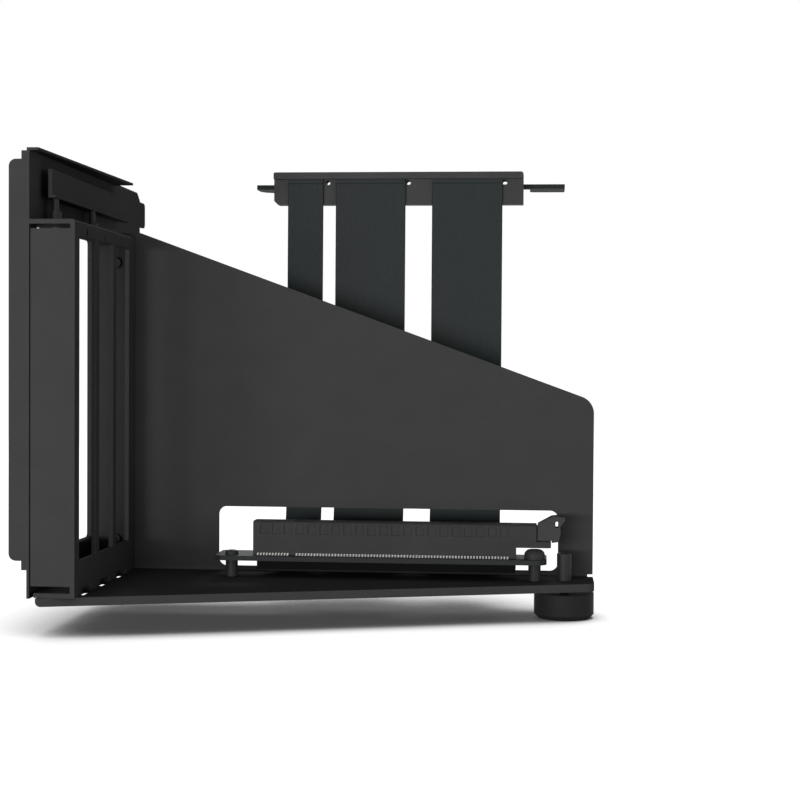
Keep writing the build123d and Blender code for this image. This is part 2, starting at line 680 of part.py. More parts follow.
def socket_housing():
    """Long card socket with a keyed slot, side pockets and a latch yoke."""
    body = block(SOCKET_LEFT, SOCKET_RIGHT, SOCKET_FRONT, SOCKET_BACK, BOARD_TOP, SOCKET_TOP)
    arm_end = SOCKET_RIGHT + SOCKET_ARM
    cheek_end = SOCKET_RIGHT + SOCKET_CHEEK
    body += block(SOCKET_RIGHT, cheek_end, SOCKET_FRONT, SOCKET_BACK, SOCKET_ARM_LOW, SOCKET_TOP)
    top_edges = body.edges().filter_by(Axis.X).group_by(Axis.Z)[-1]
    body = chamfer(top_edges, 0.5)
    arm_top = SOCKET_ARM_LOW + SOCKET_ARM_T
    arm = (
        (cheek_end - 1, SOCKET_ARM_LOW),
        (arm_end, SOCKET_ARM_LOW),
        (arm_end, arm_top),
        (cheek_end - 1, arm_top),
    )
    body += front_prism(arm, SOCKET_FRONT, SOCKET_BACK, {1: 0.5, 2: 0.6})
    # the slot for the card's edge, left solid at the key
    half = CARD_SLOT_WIDTH / 2
    floor = SOCKET_TOP - CARD_SLOT_DEPTH
    ends = (
        (SOCKET_LEFT + 0.9, KEY_FROM_SLOT - KEY_WIDTH / 2),
        (KEY_FROM_SLOT + KEY_WIDTH / 2, LAST_PIN_X + 1.2),
    )
    for x0, x1 in ends:
        body -= block(x0, x1, SOCKET_Y - half, SOCKET_Y + half, floor, SOCKET_TOP + 1)
    # shallow pockets along both sides
    high = SOCKET_TOP - POCKET_DROP
    count = int((SOCKET_RIGHT - SOCKET_LEFT) / WINDOW_PITCH)
    margin = (SOCKET_RIGHT - SOCKET_LEFT - count * WINDOW_PITCH + RIB_GAP) / 2
    for index in range(count):
        x0 = SOCKET_LEFT + margin + index * WINDOW_PITCH
        x1 = x0 + WINDOW_PITCH - RIB_GAP
        for y0 in (SOCKET_FRONT - 1, SOCKET_BACK - POCKET_DEPTH):
            body -= block(x0, x1, y0, y0 + 1 + POCKET_DEPTH, high - POCKET_HEIGHT, high)
    # the yoke that holds the latch between two cheeks
    gap = LATCH_BLADE / 2 + LATCH_GAP
    yoke = SOCKET_RIGHT + 1.2
    body -= block(yoke, arm_end + 1, SOCKET_Y - gap, SOCKET_Y + gap, SOCKET_ARM_LOW - 1, SOCKET_TOP + 1)
    reach = SOCKET_WIDTH
    body -= depth_rod(LATCH_PIVOT_X, SOCKET_Y - reach, SOCKET_Y + reach, LATCH_PIVOT_Z, LATCH_PIN_R)
    return body


def socket_contacts():
    """Solder tails along the foot of the socket, every second pin on each side."""
    tails = []
    for pin, x in enumerate(pin_positions()):
        x0 = x - TAIL_WIDTH / 2
        x1 = x + TAIL_WIDTH / 2
        front = pin % 2 == 0
        face = SOCKET_FRONT if front else SOCKET_BACK
        out = -TAIL_REACH if front else TAIL_REACH
        foot = block(x0, x1, min(face, face + out), max(face, face + out), BOARD_TOP, BOARD_TOP + TAIL_T)
        step = out / TAIL_REACH * TAIL_T
        foot += block(x0, x1, min(face, face + step), max(face, face + step), BOARD_TOP, BOARD_TOP + TAIL_RISE)
        tails.append(foot)
    return Compound(tails)


def from_pivot(points):
    """Points given from the latch's pivot, as (x, z)."""
    return [(LATCH_PIVOT_X + x, LATCH_PIVOT_Z + z) for x, z in points]


def socket_latch():
    """Card latch that tips outwards about the pin in the yoke's arm."""
    half = LATCH_BLADE / 2
    latch = front_prism(from_pivot(LATCH_BLADE_POINTS), SOCKET_Y - half, SOCKET_Y + half, {1: 1.0, 2: 1.0, 5: 1.0})
    half = LATCH_GRIP / 2
    corners = {3: 0.6, 4: 0.6, 6: 0.25, 7: 0.3, 9: 0.8}
    latch += front_prism(from_pivot(LATCH_GRIP_POINTS), SOCKET_Y - half, SOCKET_Y + half, corners)
    x = LATCH_PIVOT_X + LATCH_HOLE_AT[0]
    z = LATCH_PIVOT_Z + LATCH_HOLE_AT[1]
    wide = LATCH_HOLE_WIDTH / 2
    tall = LATCH_HOLE_HEIGHT / 2
    hole = ((x - wide, z - tall), (x + wide, z - tall), (x + wide, z + tall), (x - wide, z + tall))
    latch -= front_prism(hole, SOCKET_Y - half - 1, SOCKET_Y + half + 1, {i: wide * 0.8 for i in range(4)})
    bore = LATCH_PIN_R + LATCH_PIN_GAP
    latch -= depth_rod(LATCH_PIVOT_X, SOCKET_Y - half - 1, SOCKET_Y + half + 1, LATCH_PIVOT_Z, bore)
    return latch


def latch_pin():
    """Pin across the yoke."""
    half = SOCKET_WIDTH / 2
    return depth_rod(LATCH_PIVOT_X, SOCKET_Y - half, SOCKET_Y + half, LATCH_PIVOT_Z, LATCH_PIN_R)


def board_insulator():
    """Cover under the board, with a channel for each ribbon."""
    cover = block(INSULATOR_LEFT, INSULATOR_RIGHT, INSULATOR_FRONT, BOARD_BACK, INSULATOR_Z, BOARD_Z)
    low = RIBBON_Z - RIBBON_T / 2 - POCKET_GAP * 2
    high = RIBBON_Z + RIBBON_T / 2 + POCKET_GAP
    for x0, x1 in RIBBON_X:
        cover -= block(x0 - POCKET_GAP, x1 + POCKET_GAP, RIBBON_START_Y - POCKET_GAP, BOARD_BACK + 1, low, high)
    return cover


def turn(before, corner, after):
    """Angle by which the route turns at a corner, in degrees."""
    first = atan2(corner[1] - before[1], corner[0] - before[0])
    second = atan2(after[1] - corner[1], after[0] - corner[0])
    return abs(degrees(second - first))


def route_radii():
    """Largest arc that each corner's two runs allow."""
    radii = []
    for before, corner, after in zip(ROUTE, ROUTE[1:], ROUTE[2:]):
        run = min(
            (Vector(*corner) - Vector(*before)).length,
            (Vector(*after) - Vector(*corner)).length,
        )
        radii.append(0.45 * run / tan(radians(turn(before, corner, after)) / 2))
    return radii


def ribbon(x0, x1):
    """Flat ribbon along the route: straight runs joined by tangent arcs."""
    middle = (x0 + x1) / 2
    path = FilletPolyline(*[(middle, y, z) for y, z in ROUTE], radius=route_radii())
    start = Plane(origin=path @ 0, x_dir=(1, 0, 0), z_dir=path % 0)
    return sweep(start * Rectangle(x1 - x0, RIBBON_T), path=path)


def plug_outline():
    """Front view of the plug's cover."""
    return (
        (PLUG_LEFT + PLUG_CHAMFER, PLUG_LOW),
        (PLUG_RIGHT, PLUG_LOW),
        (PLUG_RIGHT, PLUG_HIGH),
        (PLUG_LEFT, PLUG_HIGH),
        (PLUG_LEFT, PLUG_LOW + PLUG_CHAMFER),
    )


def plug_cover_front():
    """Front shell of the plug: the ribbons lie on its face, below a lip along its top."""
    corners = {2: PLUG_CORNER_R, 3: 0.6}
    shell = front_prism(plug_outline(), PLUG_FACE, PLUG_Y, corners)
    lip = front_prism(plug_outline(), PLUG_FACE - PLUG_LIP_T, PLUG_FACE, corners)
    keep = block(PLUG_LEFT, PLUG_RIGHT, PLUG_FACE - PLUG_LIP_T, PLUG_FACE, PLUG_HIGH - PLUG_LIP_H, PLUG_HIGH)
    shell += lip & keep
    for x in PLUG_EYES:
        shell -= depth_rod(x, PLUG_FACE - 1, PLUG_Y + 1, PLUG_EYE_Z, PLUG_EYE_R)
    return shell


def plug_cover_back():
    """Back shell of the plug, with a slot for the board's neck."""
    back = PLUG_Y + PLUG_BACK_T
    shell = front_prism(plug_outline(), PLUG_Y, back, {2: PLUG_CORNER_R, 3: 0.6})
    for x in PLUG_EYES:
        shell -= depth_rod(x, PLUG_Y - 1, back + 1, PLUG_EYE_Z, PLUG_EYE_R)
    left = PLUG_LEFT + PLUG_NECK_INSET
    right = PLUG_RIGHT - PLUG_NECK_INSET
    neck = PLUG_Y + PLUG_NECK_FROM
    shell -= block(left, right, neck, back + 1, PLUG_BOARD_Z, PLUG_BOARD_Z + BOARD_T)
    return shell


def plug_board():
    """Edge board: neck in the cover, wide middle, keyed edge at the back."""
    neck = PLUG_Y + PLUG_NECK_FROM
    back = PLUG_Y + PLUG_BACK_T
    edge = back + PLUG_BOARD_DEPTH
    shoulder = edge - PLUG_EDGE_DEPTH
    left = PLUG_LEFT + PLUG_NECK_INSET
    right = PLUG_RIGHT - PLUG_NECK_INSET
    hook = back + PLUG_HOOK_WEB
    outline = (
        (left, neck),
        (right, neck),
        (right, back),
        (PLUG_BOARD_RIGHT, back),
        (PLUG_BOARD_RIGHT, shoulder),
        (PLUG_RIGHT + PLUG_HOOK_NOTCH, shoulder),
        (PLUG_RIGHT + PLUG_HOOK_NOTCH, hook),
        (LAST_PIN_X + PIN_PITCH, hook),
        (LAST_PIN_X + PIN_PITCH, edge),
        (FIRST_PIN_X - PIN_PITCH, edge),
        (FIRST_PIN_X - PIN_PITCH, shoulder),
        (PLUG_BOARD_LEFT, shoulder),
        (PLUG_BOARD_LEFT, back),
        (left, back),
    )
    radii = {3: 0.4, 4: 0.4, 5: 1.6, 6: 0.8, 11: PLUG_BOARD_R, 12: 0.5}
    board = top_prism(outline, PLUG_BOARD_Z, PLUG_BOARD_Z + BOARD_T, radii)
    key = KEY_WIDTH / 2
    board -= block(KEY_FROM_SLOT - key, KEY_FROM_SLOT + key, shoulder + 1, edge + 1, PLUG_BOARD_Z - 1, PLUG_EYE_Z + 1)
    room = PLUG_EYE_R + PLUG_EYE_ROOM
    for x in PLUG_EYES:
        board -= block(x - room, x + room, neck - 1, back, PLUG_BOARD_Z - 1, PLUG_EYE_Z + 1)
    return board


def plug_contacts():
    """Gold fingers on both faces of the plug's edge."""
    edge = PLUG_Y + PLUG_BACK_T + PLUG_BOARD_DEPTH
    fingers = []
    for x in pin_positions():
        for z in (PLUG_BOARD_Z - FINGER_T, PLUG_BOARD_Z + BOARD_T):
            fingers.append(
                block(x - FINGER_WIDTH / 2, x + FINGER_WIDTH / 2, edge - 0.6 - FINGER_LENGTH, edge - 0.6,
                      z, z + FINGER_T)
            )
    return Compound(fingers)


def foot_bush():
    """Threaded bush pressed into the base plate."""
    bush = rod(FOOT_X, FOOT_Y, -SHEET, BUSH_RISE, BUSH_R)
    rim = bush.edges().filter_by(GeomType.CIRCLE).sort_by(Axis.Z)[-1]
    bush = chamfer(rim, 0.3)
    bush -= rod(FOOT_X, FOOT_Y, -SHEET - 1, BUSH_RISE + 1, STUD_R + STUD_GAP)
    return bush


def foot_stud():
    """Stud that screws the foot up and down in the bush."""
    stud = rod(FOOT_X, FOOT_Y, FOOT_TOP - STUD_SEAT, BUSH_RISE - STUD_DROP, STUD_R)
    tip = stud.edges().filter_by(GeomType.CIRCLE).sort_by(Axis.Z)[-1]
    return chamfer(tip, 0.35)


def foot_body():
    """Round body of the foot, bored for the stud."""
    low = FOOT_TOP - FOOT_BODY_H
    body = rod(FOOT_X, FOOT_Y, low, FOOT_TOP, FOOT_R)
    rim = body.edges().filter_by(GeomType.CIRCLE).sort_by(Axis.Z)[-1]
    body = fillet(rim, 0.4)
    body -= rod(FOOT_X, FOOT_Y, FOOT_TOP - STUD_SEAT, FOOT_TOP + 1, STUD_R)
    return body


def foot_sole():
    """Rubber sole with a bevelled rim."""
    sole = rod(FOOT_X, FOOT_Y, FOOT_BOTTOM, FOOT_BOTTOM + SOLE_H, FOOT_R)
    rim = sole.edges().filter_by(GeomType.CIRCLE).sort_by(Axis.Z)[0]
    return chamfer(rim, SOLE_CHAMFER)


def save(name, shape):
    """Write one node, moved to the row's origin."""
    shape = Pos(-ORIGIN[0], -ORIGIN[1], -ORIGIN[2]) * shape
    export_step(shape, "parts/" + name + ".step")
    print(name, round(shape.volume, 1))


os.makedirs("parts", exist_ok=True)
print("origin", [round(value, 3) for value in ORIGIN])
save("base_panel", base_panel())
save("slot_frame", slot_frame())
save("side_plate", side_plate())
save("rear_frame", rear_frame())
save("retention_plate", retention_plate())
save("plate_pins", plate_pins())
save("flange_screws", flange_screws())
save("base_rivets", base_rivets())
save("riser_board", riser_board())
save("board_standoffs", board_standoffs())
save("board_screws", board_screws())
save("socket_housing", socket_housing())
save("socket_contacts", socket_contacts())
save("socket_latch", socket_latch())
save("latch_pin", latch_pin())
save("board_insulator", board_insulator())
print("route radii", [round(radius, 1) for radius in route_radii()])
for ribbon_name, (left, right) in zip(("ribbon_left", "ribbon_middle", "ribbon_right"), RIBBON_X):
    save(ribbon_name, ribbon(left, right))
save("plug_cover_front", plug_cover_front())
save("plug_cover_back", plug_cover_back())
save("plug_board", plug_board())
save("plug_contacts", plug_contacts())
save("foot_bush", foot_bush())
save("foot_stud", foot_stud())
save("foot_body", foot_body())
save("foot_sole", foot_sole())
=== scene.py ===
import math

import bmesh
import bpy
from mathutils import Matrix, Vector


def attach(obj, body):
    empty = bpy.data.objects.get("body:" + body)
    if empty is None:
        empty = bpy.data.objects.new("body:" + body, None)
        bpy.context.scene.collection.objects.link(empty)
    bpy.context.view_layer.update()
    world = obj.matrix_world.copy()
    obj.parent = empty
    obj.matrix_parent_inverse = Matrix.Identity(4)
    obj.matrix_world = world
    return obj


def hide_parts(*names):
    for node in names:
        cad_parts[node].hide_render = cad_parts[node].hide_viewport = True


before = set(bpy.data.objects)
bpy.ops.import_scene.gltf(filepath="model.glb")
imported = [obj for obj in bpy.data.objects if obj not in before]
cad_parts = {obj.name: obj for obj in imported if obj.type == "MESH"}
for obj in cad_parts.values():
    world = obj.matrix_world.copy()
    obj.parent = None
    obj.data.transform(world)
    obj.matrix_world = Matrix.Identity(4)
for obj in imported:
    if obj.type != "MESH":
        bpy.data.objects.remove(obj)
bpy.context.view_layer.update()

MM = 0.001

# The part source's datum corner in the row frame, and its sizes used here, in mm
ORIGIN = (68.35, 70.199, -12.25)
RIBBON_T = 1.2
# Each ribbon's left and right edge, along x
RIBBONS = {
    "ribbon_left": (48.0, 60.8),
    "ribbon_middle": (65.3, 90.4),
    "ribbon_right": (99.9, 125.0),
}
# The ribbons' route as (y, z), from the riser board up to the plug
ROUTE = (
    (58.0, 4.1),
    (72.5, 4.0),
    (87.5, 3.5),
    (99.2, 8.4),
    (103.5, 22.5),
    (103.0, 46.0),
    (102.7, 76.0),
    (103.0, 105.0),
    (103.3, 126.0),
    (103.3, 137.1),
)
PIN_FIRST = 45.65
PIN_COUNT = 82
KEY_PINS = 11
KEY_GAP = 3.0
SOCKET_Y = 61.5
SOCKET_FRONT = 57.75
SOCKET_BACK = 65.25
SOCKET_TOP = 18.45
SLOT_HALF = 0.95
BOARD_TOP = 7.2
TAIL_REACH = 1.1
TAIL_RISE = 0.7
TAIL_T = 0.3
TAIL_GAP = 0.01
PIN_HALF = 0.25
BOARD_SCREWS = ((36.8, 57.5, 8.7), (137.5, 58.6, 10.4))
FLANGE_X = -6.3
FLANGE_FACE = 70.3
FLANGE_SCREWS = (10.2, 105.2)
FOOT_X = 147.25
FOOT_Y = 61.4
FOOT_TOP = -3.75
THREAD_PITCH = 0.5
THREAD_TURNS = 15
THREAD_ROOT = 1.46
THREAD_CREST = 1.56
FLOOR_Z = -12.25

# Camera fitted to the photograph, in the datum frame
CAMERA_AT = (139.1355, -472.8536, 71.4614)
CAMERA_YAW = 4.989
CAMERA_PITCH = 1.321
CAMERA_ROLL = 0.355
CAMERA_LENS = 72.591


def at(x, y, z):
    """A datum-frame point in mm, as a row-frame point in metres."""
    return Vector(((x - ORIGIN[0]) * MM, (y - ORIGIN[1]) * MM, (z - ORIGIN[2]) * MM))


# Camera
def make_camera():
    """A camera turned by yaw, tipped down by pitch, and rolled about its own axis."""
    yaw, pitch, roll = (math.radians(v) for v in (CAMERA_YAW, CAMERA_PITCH, CAMERA_ROLL))
    level = math.cos(pitch)
    forward = Vector((-math.sin(yaw) * level, math.cos(yaw) * level, -math.sin(pitch)))
    right = Vector((math.cos(yaw), math.sin(yaw), 0))
    up = right.cross(forward)
    turned_right = math.cos(roll) * right + math.sin(roll) * up
    turned_up = -math.sin(roll) * right + math.cos(roll) * up
    data = bpy.data.cameras.new("camera")
    data.sensor_width = 36
    data.lens = CAMERA_LENS
    data.clip_start = 0.01
    data.clip_end = 20
    camera = bpy.data.objects.new("camera", data)
    bpy.context.scene.collection.objects.link(camera)
    basis = Matrix((turned_right, turned_up, -forward)).transposed()
    camera.matrix_world = Matrix.Translation(at(*CAMERA_AT)) @ basis.to_4x4()
    bpy.context.scene.camera = camera


make_camera()


# Mesh helpers
def add_object(name, data):
    piece = bpy.data.objects.new(name, data)
    bpy.context.scene.collection.objects.link(piece)
    return piece


def from_bmesh(name, shape, smooth=None):
    """A mesh object from a bmesh. smooth is the angle in degrees below which edges are smooth."""
    bmesh.ops.recalc_face_normals(shape, faces=shape.faces)
    if smooth is not None:
        for face in shape.faces:
            face.smooth = True
        for edge in shape.edges:
            edge.smooth = len(edge.link_faces) == 2 and edge.calc_face_angle() < math.radians(smooth)
    mesh = bpy.data.meshes.new(name)
    shape.to_mesh(mesh)
    shape.free()
    return add_object(name, mesh)


def add_prism(shape, outline, place):
    """A closed prism. outline is a list of (u, v), and place turns (u, v, end 0 or 1) into a point."""
    rings = [[shape.verts.new(place(u, v, end)) for u, v in outline] for end in (0, 1)]
    count = len(outline)
    for k in range(count):
        n = (k + 1) % count
        shape.faces.new((rings[0][k], rings[0][n], rings[1][n], rings[1][k]))
    shape.faces.new(rings[0][::-1])
    shape.faces.new(rings[1])


def add_block(shape, x0, x1, y0, y1, z0, z1):
    """A box between two datum-frame corners, in mm."""
    outline = ((x0, y0), (x1, y0), (x1, y1), (x0, y1))
    add_prism(shape, outline, lambda u, v, end: at(u, v, z1 if end else z0))


def add_lathe(shape, profile, place, steps=40):
    """A surface of revolution. profile is (radius, height) from the axis up and back to the axis."""
    rings = []
    for radius, height in profile:
        if radius < 1e-6:
            rings.append([shape.verts.new(place(0, 0, height))])
            continue
        ring = []
        for k in range(steps):
            turn = 2 * math.pi * k / steps
            corner = place(radius * math.cos(turn), radius * math.sin(turn), height)
            ring.append(shape.verts.new(corner))
        rings.append(ring)
    for low, high in zip(rings, rings[1:]):
        for k in range(steps):
            n = (k + 1) % steps
            corners = [low[k % len(low)], low[n % len(low)], high[n % len(high)], high[k % len(high)]]
            corners = list(dict.fromkeys(corners))
            if len(corners) > 2:
                shape.faces.new(corners)


# Material helpers
class Nodes:
    """Short names for building one material's node tree."""

    def __init__(self, name):
        self.material = bpy.data.materials.new(name)
        self.material.use_nodes = True
        self.tree = self.material.node_tree
        self.shader = self.tree.nodes["Principled BSDF"]

    def new(self, kind, **values):
        node = self.tree.nodes.new(kind)
        for key, value in values.items():
            if key in node.inputs:
                node.inputs[key].default_value = value
            else:
                setattr(node, key, value)
        return node

    def link(self, start, end):
        self.tree.links.new(start, end)

    def place(self, scale=(1, 1, 1)):
        """Object coordinates, in metres, stretched by scale."""
        coordinates = self.new("ShaderNodeTexCoord")
        mapping = self.new("ShaderNodeMapping")
        mapping.inputs["Scale"].default_value = scale
        self.link(coordinates.outputs["Object"], mapping.inputs["Vector"])
        return mapping.outputs["Vector"]

    def noise(self, place, scale, detail=2.0, roughness=0.5):
        node = self.new("ShaderNodeTexNoise", Scale=scale, Detail=detail, Roughness=roughness)
        self.link(place, node.inputs["Vector"])
        return node.outputs["Fac"]

    def wave(self, place, direction, scale):
        """Even bands along one direction, 0.314 m divided by scale apart."""
        node = self.new("ShaderNodeTexWave", wave_type="BANDS", bands_direction=direction)
        node.inputs["Scale"].default_value = scale
        self.link(place, node.inputs["Vector"])
        return node.outputs["Fac"]

    def ramp(self, value, low, high, start=0.0, end=1.0):
        """Maps the values from start to end onto low to high."""
        node = self.new("ShaderNodeMapRange")
        for key, number in (("From Min", start), ("From Max", end), ("To Min", low), ("To Max", high)):
            node.inputs[key].default_value = number
        self.link(value, node.inputs["Value"])
        return node.outputs["Result"]

    def blend(self, factor, first, second):
        """A colour between two colours or sockets."""
        node = self.new("ShaderNodeMix", data_type="RGBA")
        sockets = [s for s in node.inputs if s.type == "RGBA"]
        for socket, value in zip(sockets, (first, second)):
            if isinstance(value, tuple):
                socket.default_value = value + (1.0,) if len(value) == 3 else value
            else:
                self.link(value, socket)
        self.link(factor, node.inputs[0])
        return [s for s in node.outputs if s.type == "RGBA"][0]

    def bump(self, height, distance, strength=1.0, normal=None):
        node = self.new("ShaderNodeBump", Distance=distance, Strength=strength)
        self.link(height, node.inputs["Height"])
        if normal is not None:
            self.link(normal, node.inputs["Normal"])
        return node.outputs["Normal"]


def shade(colour, factor):
    """A colour made darker or paler."""
    return tuple(channel * factor for channel in colour)


# Painted shade in the corners: its reach in metres, its most, and the open sky it fades between
CORNER_REACH = 0.045
CORNER_SHADE = 0.6
CORNER_OPEN = (0.2, 0.64)


def coated_steel(name, colour, roughness, grain=1.0, edge=0.00035, specular=0.3):
    """Powder coat: orange peel, faint mottling, a painted highlight along the edges and painted shade
    in the corners.
    """
    n = Nodes(name)
    place = n.place()
    mottle = n.noise(place, scale=90.0, detail=3.0)
    fine = n.noise(place, scale=1700.0, detail=3.0, roughness=0.6)
    coarse = n.noise(place, scale=520.0)
    cloud = n.ramp(mottle, 0.0, 1.0, start=0.35, end=0.65)
    tone = n.blend(cloud, shade(colour, 0.97), shade(colour, 1.03))
    speck = n.ramp(fine, 0.0, 0.4, start=0.62, end=0.75)
    tone = n.blend(speck, tone, shade(colour, 1.5))
    # edges: where a rounded normal leaves the face's own, the colour is paler, a painted highlight
    round_edge = n.new("ShaderNodeBevel", samples=6, Radius=edge)
    geometry = n.new("ShaderNodeNewGeometry")
    dot = n.new("ShaderNodeVectorMath", operation="DOT_PRODUCT")
    n.link(round_edge.outputs["Normal"], dot.inputs[0])
    n.link(geometry.outputs["Normal"], dot.inputs[1])
    painted_edge_highlight = n.ramp(dot.outputs["Value"], 0.55, 0.0, start=0.72, end=0.99)
    tone = n.blend(painted_edge_highlight, tone, shade(colour, 1.9))
    # corners: painted shade, darker where little sky is open
    corner = n.new("ShaderNodeAmbientOcclusion", Distance=CORNER_REACH, samples=8)
    painted_corner_shade = n.ramp(corner.outputs["AO"], CORNER_SHADE, 0.0, *CORNER_OPEN)
    tone = n.blend(painted_corner_shade, tone, shade(colour, 0.04))
    n.link(tone, n.shader.inputs["Base Color"])
    n.link(n.ramp(mottle, roughness - 0.04, roughness + 0.05), n.shader.inputs["Roughness"])
    rounded = round_edge.outputs["Normal"]
    peel = n.bump(coarse, distance=0.00006 * grain, strength=0.5, normal=rounded)
    skin = n.bump(fine, distance=0.00003 * grain, strength=0.7, normal=peel)
    n.link(skin, n.shader.inputs["Normal"])
    n.shader.inputs["Specular IOR Level"].default_value = specular
    return n.material


def moulded(name, colour, roughness, grain=900.0, depth=0.00002, specular=0.35, edge=0.0002):
    """Moulded plastic: fine spark texture and soft edges."""
    n = Nodes(name)
    place = n.place()
    fine = n.noise(place, scale=grain, detail=3.0, roughness=0.6)
    broad = n.noise(place, scale=60.0)
    cloud = n.ramp(broad, 0.0, 1.0, start=0.35, end=0.65)
    tone = n.blend(cloud, shade(colour, 0.92), shade(colour, 1.08))
    n.link(tone, n.shader.inputs["Base Color"])
    gloss = n.ramp(fine, roughness - 0.05, roughness + 0.06, start=0.3, end=0.7)
    n.link(gloss, n.shader.inputs["Roughness"])
    round_edge = n.new("ShaderNodeBevel", samples=6, Radius=edge)
    skin = n.bump(fine, distance=depth, strength=0.6, normal=round_edge.outputs["Normal"])
    n.link(skin, n.shader.inputs["Normal"])
    n.shader.inputs["Specular IOR Level"].default_value = specular
    return n.material


# Copper runs, as the mortar between long flat bricks, in metres
COPPER_RUNS = {
    "Brick Width": 0.0062,
    "Row Height": 0.0011,
    "Mortar Size": 0.00022,
    "Mortar Smooth": 0.2,
    "Bias": 0.0,
}


def circuit(name, colour, copper):
    """Solder mask over copper runs, which stand a little proud and read a little paler."""
    n = Nodes(name)
    place = n.place()
    runs = n.new("ShaderNodeTexBrick", Scale=1.0)
    for key, value in COPPER_RUNS.items():
        runs.inputs[key].default_value = value
    n.link(place, runs.inputs["Vector"])
    fine = n.noise(place, scale=1500.0)
    tone = n.blend(runs.outputs["Fac"], colour, copper)
    tone = n.blend(n.ramp(fine, 0.0, 0.5, start=0.4, end=0.7), tone, shade(colour, 1.3))
    n.link(tone, n.shader.inputs["Base Color"])
    n.link(n.ramp(fine, 0.6, 0.72), n.shader.inputs["Roughness"])
    raised = n.bump(runs.outputs["Fac"], distance=0.00003, strength=0.6)
    n.link(raised, n.shader.inputs["Normal"])
    n.shader.inputs["Specular IOR Level"].default_value = 0.08
    return n.material


def metal(name, colour, roughness, grain=2500.0):
    """Plated metal with fine handling marks."""
    n = Nodes(name)
    place = n.place()
    fine = n.noise(place, scale=grain, detail=3.0)
    cloud = n.ramp(fine, 0.0, 1.0, start=0.3, end=0.7)
    tone = n.blend(cloud, shade(colour, 0.85), shade(colour, 1.1))
    n.link(tone, n.shader.inputs["Base Color"])
    gloss = n.ramp(fine, roughness - 0.06, roughness + 0.1, start=0.3, end=0.7)
    n.link(gloss, n.shader.inputs["Roughness"])
    n.link(n.bump(fine, distance=0.000008, strength=0.5), n.shader.inputs["Normal"])
    n.shader.inputs["Metallic"].default_value = 1.0
    return n.material


# Wave scales: a thread every 0.5 mm, and a rib for about every two wires of the ribbon
THREAD_WAVES = 628.0
RIB_WAVES = 250.0


def threaded(name, colour, roughness):
    """Dark steel rod with a fine thread around its upright axis."""
    n = Nodes(name)
    place = n.place()
    thread = n.wave(place, "Z", THREAD_WAVES)
    fine = n.noise(place, scale=1500.0)
    # darker roots and paler crests along the thread: painted shade and painted highlight
    tone = n.blend(thread, shade(colour, 0.45), shade(colour, 1.2))
    n.link(tone, n.shader.inputs["Base Color"])
    n.link(n.ramp(fine, roughness, roughness + 0.1), n.shader.inputs["Roughness"])
    n.link(n.bump(thread, distance=0.0002, strength=0.8), n.shader.inputs["Normal"])
    n.shader.inputs["Specular IOR Level"].default_value = 0.2
    return n.material


def flat_cable(name, colour, tint):
    """Ribbon jacket: fine lengthwise ribs, and a slow drift of tone along the strip."""
    n = Nodes(name)
    place = n.place()
    ribs = n.wave(place, "X", RIB_WAVES)
    drift = n.noise(n.place((1, 0.4, 0.35)), scale=38.0)
    fine = n.noise(place, scale=1400.0)
    tone = n.blend(n.ramp(drift, 0.0, 1.0, start=0.38, end=0.62), colour, tint)
    # a little darker between the ribs: painted shade in the grooves
    tone = n.blend(n.ramp(ribs, 0.1, 0.0, end=0.35), tone, shade(colour, 0.7))
    n.link(tone, n.shader.inputs["Base Color"])
    n.link(n.ramp(fine, 0.44, 0.56, start=0.3, end=0.7), n.shader.inputs["Roughness"])
    ridge = n.bump(ribs, distance=0.00002, strength=0.3)
    skin = n.bump(fine, distance=0.00001, strength=0.6, normal=ridge)
    n.link(skin, n.shader.inputs["Normal"])
    n.shader.inputs["Specular IOR Level"].default_value = 0.04
    return n.material


BLACK = (0.0395, 0.0397, 0.0403)
steel = coated_steel("powder_coat", BLACK, 0.8, specular=0.005)
screw_steel = coated_steel("black_oxide", (0.021, 0.021, 0.0215), 0.5,
                           grain=0.6, edge=0.00015, specular=0.09)
pad_mask = circuit("solder_mask", (0.012, 0.013, 0.0135), (0.02, 0.0212, 0.022))
housing_plastic = moulded("socket_nylon", (0.027, 0.0272, 0.028), 0.6, specular=0.08)
latch_plastic = moulded("latch_nylon", (0.034, 0.0342, 0.035), 0.6, specular=0.08)
plug_plastic = moulded("plug_nylon", (0.039, 0.0392, 0.04), 0.6, specular=0.06)
foot_plastic = moulded("foot_nylon", (0.0125, 0.0125, 0.013), 0.6, specular=0.06)
shield_film = moulded("shield_film", (0.004, 0.004, 0.0042), 0.85, specular=0.03)
stud_steel = threaded("stud_thread", (0.03, 0.03, 0.031), 0.4)
sole_rubber = moulded("sole_rubber", (0.01, 0.01, 0.0104), 0.8,
                      grain=600.0, depth=0.00004, specular=0.12)
tin = metal("tinned_copper", (0.2, 0.2, 0.195), 0.5)
gold = metal("gold_plate", (0.83, 0.6, 0.22), 0.28)
spring_metal = metal("contact_spring", (0.5, 0.38, 0.17), 0.4)
jacket = flat_cable("ribbon_jacket", (0.0215, 0.0242, 0.0247), (0.0195, 0.0252, 0.0253))
ceramic = moulded("part_ceramic", (0.16, 0.12, 0.085), 0.5)

